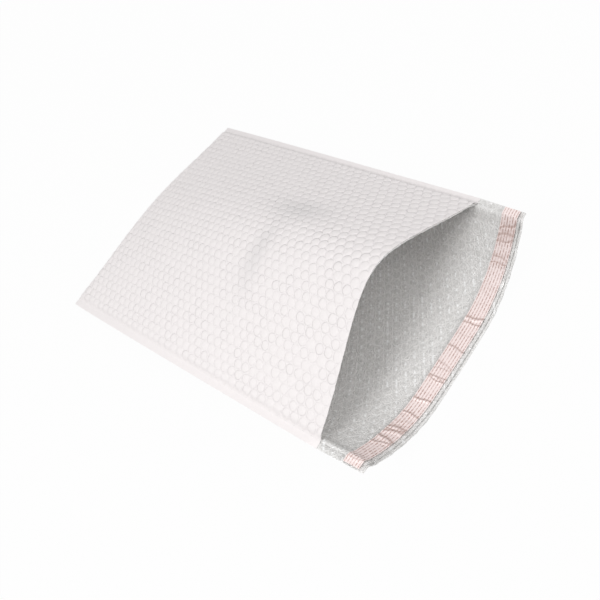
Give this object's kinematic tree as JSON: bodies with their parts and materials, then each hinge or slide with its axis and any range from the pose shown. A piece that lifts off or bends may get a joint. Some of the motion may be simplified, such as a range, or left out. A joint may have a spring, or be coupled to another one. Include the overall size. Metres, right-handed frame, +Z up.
{
  "type": "poly mailer",
  "caption": "Bubble-lined poly mailer lying open, its front panel arched over the pocket and its peel-and-seal flap stretched out past the mouth.",
  "frame": {"origin": "middle of the footprint, on the surface that the mailer lies on", "axes": "+X across the mailer, +Y along it from the mouth to the closed fold, +Z up"},
  "size_m": [0.361, 0.5214, 0.1458],
  "materials": {
    "outer_film": "satin white polyethylene film, embossed by the bubbles behind it",
    "bubble_lining": "clear bubble film",
    "adhesive_strip": "clear hot-melt adhesive",
    "release_liner": "silicone-coated liner, pale with fine lengthwise lines"
  },
  "bodies": {
    "root": {"outer_film": "outer_film", "bubble_lining": "bubble_lining", "adhesive_strip": "adhesive_strip", "release_liner": "release_liner"}
  },
  "joints": []
}
